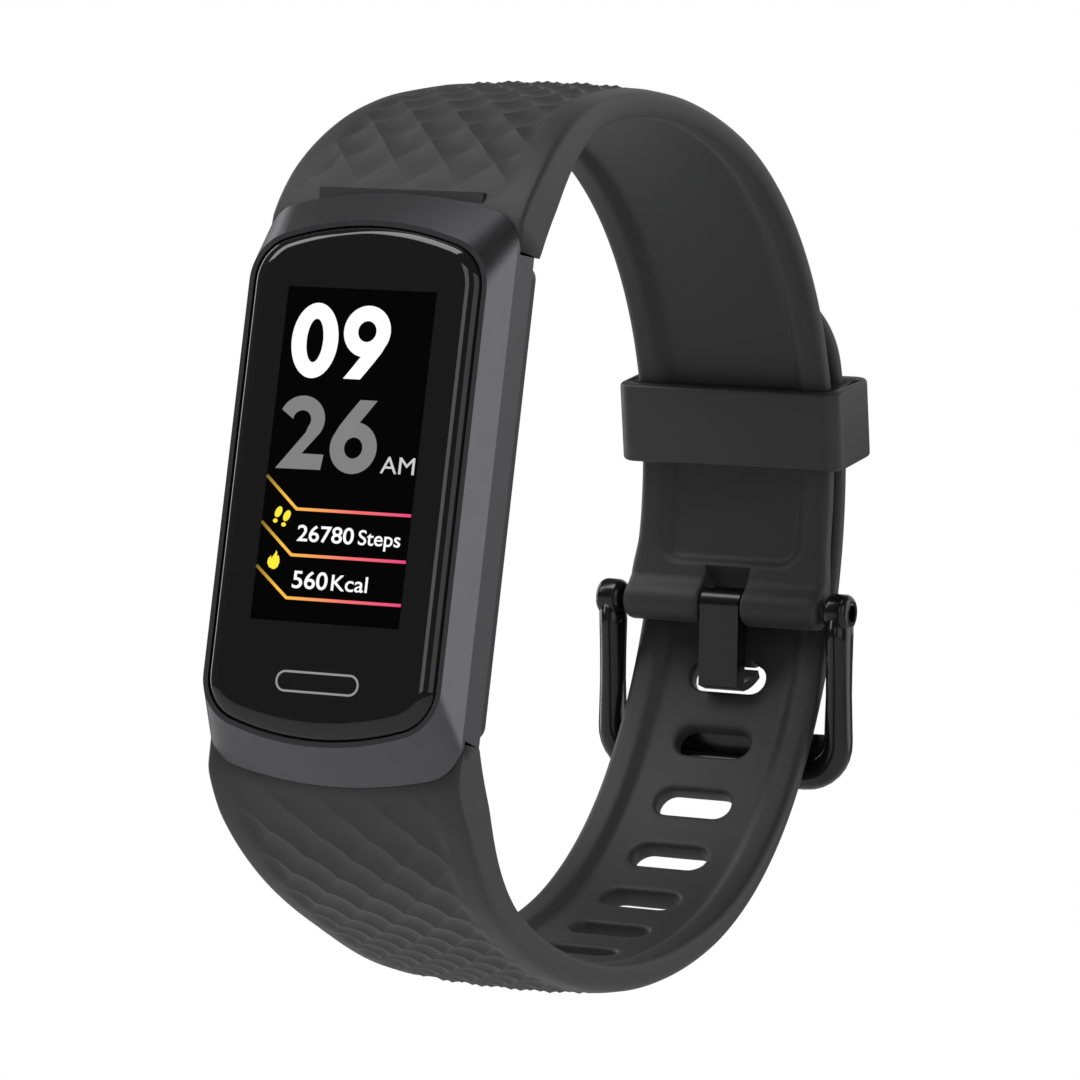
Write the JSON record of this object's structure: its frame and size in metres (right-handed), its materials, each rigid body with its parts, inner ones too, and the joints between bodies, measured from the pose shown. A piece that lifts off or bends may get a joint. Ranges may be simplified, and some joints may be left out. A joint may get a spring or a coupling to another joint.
{
  "type": "fitness tracker band",
  "caption": "Slim wrist tracker with a long rounded display, buckled silicone strap with facet texture, tang buckle and keeper loop.",
  "frame": {"origin": "middle of the wrist opening, level with the middle of the case", "axes": "+X along the wrist, to the wearer's right when looking at the display; -Y the way the display faces; +Z to the display's twelve-o'clock side"},
  "size_m": [0.0204, 0.065, 0.0622],
  "materials": {
    "satin_gunmetal": "satin gunmetal coating over cast alloy",
    "black_cover_plastic": "fine matte moulding",
    "cover_glass": "polished toughened glass, black printed behind",
    "clear_adhesive": "black bonding film",
    "display_black": "colour liquid-crystal module",
    "steel": "pressed steel",
    "steel_bright": "turned stainless steel",
    "spring_steel": "music wire",
    "copper_foil": "plain copper",
    "flex_polyimide": "amber polyimide film",
    "chassis_plastic": "moulded",
    "circuit_board": "solder resist",
    "chip_epoxy": "moulded epoxy",
    "crystal_can": "nickel plate",
    "battery_foil": "laminate pouch",
    "tungsten": "sintered",
    "gasket_rubber": "soft moulded rubber",
    "sensor_lens": "polished dark lens",
    "led_lens": "clear encapsulant",
    "gold_pads": "gold flash",
    "magnet_nickel": "nickel plate",
    "strap_silicone": "matte dark grey elastomer",
    "keeper_silicone": "matte dark grey elastomer",
    "black_buckle": "gloss black coating on alloy"
  },
  "bodies": {
    "band": {"front_frame": "satin_gunmetal", "back_cover": "black_cover_plastic", "cover_glass": "cover_glass", "lens_adhesive": "clear_adhesive", "display_panel": "display_black", "backlight_tray": "steel", "vibration_motor_case": "steel", "back_cover_screws": "steel", "motor_shaft": "steel", "upper_bar_tube": "steel_bright", "lower_bar_tube": "steel_bright", "buckle_bar_tube": "steel_bright", "upper_bar_spring": "spring_steel", "lower_bar_spring": "spring_steel", "buckle_bar_spring": "spring_steel", "touch_key_pad": "copper_foil", "battery_tabs": "copper_foil", "display_flex": "flex_polyimide", "inner_chassis": "chassis_plastic", "main_board": "circuit_board", "sensor_board": "circuit_board", "processor_chip": "chip_epoxy", "power_chip": "chip_epoxy", "motion_sensor_chip": "chip_epoxy", "flash_chip": "chip_epoxy", "light_baffle": "chip_epoxy", "crystal": "crystal_can", "antenna": "crystal_can", "battery_cell": "battery_foil", "back_gasket": "gasket_rubber", "sensor_window": "sensor_lens", "sensor_lights": "led_lens", "photodiode": "led_lens", "charge_pads": "gold_pads", "charge_contact_pins": "gold_pads", "charge_magnets": "magnet_nickel", "upper_strap": "strap_silicone", "lower_strap": "strap_silicone"},
    "buckle_frame": {"buckle_frame": "black_buckle"},
    "buckle_tongue": {"buckle_tongue": "black_buckle"},
    "keeper": {"keeper_loop": "keeper_silicone"},
    "buckle_tip_left": {"buckle_bar_tip_left": "steel_bright"},
    "buckle_tip_right": {"buckle_bar_tip_right": "steel_bright"},
    "upper_release_lever": {"upper_bar_lever_tip": "steel_bright"},
    "lower_release_lever": {"lower_bar_lever_tip": "steel_bright"},
    "motor_rotor": {"motor_rotor": "tungsten"}
  },
  "joints": [
    {"name": "buckle_frame_hinge", "type": "hinge", "parent": "band", "child": "buckle_frame", "pos_m": [0, 0.0274, -0.0005], "axis": [1, 0, 0], "range_deg": [0, 110]},
    {"name": "buckle_tongue_hinge", "type": "hinge", "parent": "band", "child": "buckle_tongue", "pos_m": [0, 0.0274, -0.0005], "axis": [-1, 0, 0], "range_deg": [0, 100]},
    {"name": "keeper_travel", "type": "hinge", "parent": "band", "child": "keeper", "pos_m": [0, 0.00095, 0.00326], "axis": [1, 0, 0], "range_deg": [-9, 45]},
    {"name": "buckle_tip_left_slide", "type": "slide", "parent": "band", "child": "buckle_tip_left", "axis": [1, 0, 0], "range_m": [0, 0.0018], "stiffness_N_per_m": 100, "springref_m": -0.0005, "deforming": ["buckle_bar_spring"]},
    {"name": "buckle_tip_right_slide", "type": "slide", "parent": "band", "child": "buckle_tip_right", "axis": [-1, 0, 0], "range_m": [0, 0.0018], "stiffness_N_per_m": 100, "springref_m": -0.0005, "deforming": ["buckle_bar_spring"]},
    {"name": "upper_release_slide", "type": "slide", "parent": "band", "child": "upper_release_lever", "axis": [-1, 0, 0], "range_m": [0, 0.0017], "stiffness_N_per_m": 100, "springref_m": -0.0005, "deforming": ["upper_bar_spring"]},
    {"name": "lower_release_slide", "type": "slide", "parent": "band", "child": "lower_release_lever", "axis": [-1, 0, 0], "range_m": [0, 0.0017], "stiffness_N_per_m": 100, "springref_m": -0.0005, "deforming": ["lower_bar_spring"]},
    {"name": "motor_spin", "type": "hinge", "parent": "band", "child": "motor_rotor", "pos_m": [0, -0.0278, -0.0085], "axis": [0, 1, 0], "continuous": true}
  ]
}
